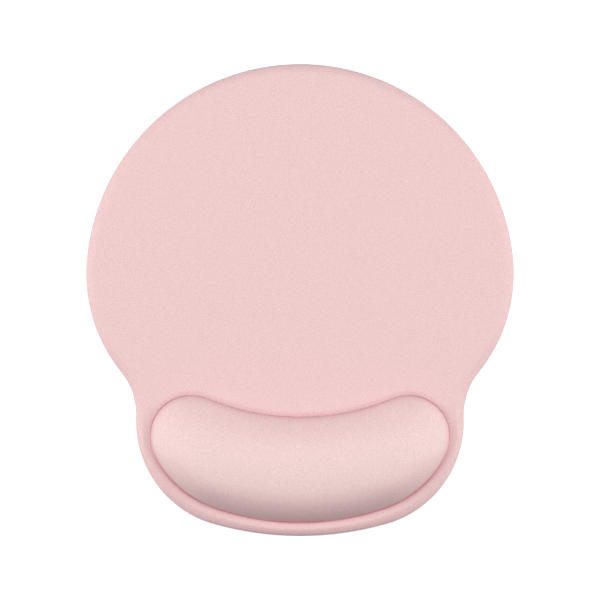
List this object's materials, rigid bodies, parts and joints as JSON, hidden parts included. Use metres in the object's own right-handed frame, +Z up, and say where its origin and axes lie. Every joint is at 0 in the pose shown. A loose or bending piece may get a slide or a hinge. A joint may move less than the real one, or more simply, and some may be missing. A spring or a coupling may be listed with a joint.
{
  "type": "mouse mat with wrist rest",
  "caption": "Round mouse mat with a kidney-shaped gel wrist rest under one soft knit cover, on a non-slip base.",
  "frame": {"origin": "on the table, under the middle of the mat's bounding box", "axes": "+Z up from the table, +Y away from the user along the mat's length, so the wrist rest is at -Y; +X to the user's right"},
  "size_m": [0.2266, 0.25, 0.022],
  "materials": {
    "knit_fabric": "pale pink stretch knit, matt, lighter where it is stretched over the rest",
    "barrier_film": "thin milky polyurethane film",
    "foam": "off-white open-cell polyurethane foam",
    "pouch_film": "clear glossy polyurethane film",
    "gel": "clear, faintly blue soft gel",
    "adhesive": "pale amber pressure-sensitive adhesive",
    "base": "dusty pink polyurethane, matt, with a fine moulded tread"
  },
  "bodies": {
    "root": {"cover_fabric": "knit_fabric", "cover_film": "barrier_film", "pad_foam": "foam", "gel_pouch_base": "pouch_film", "gel_pouch_top": "pouch_film", "rest_gel_core": "gel", "base_adhesive": "adhesive", "base_sheet": "base"}
  },
  "joints": []
}
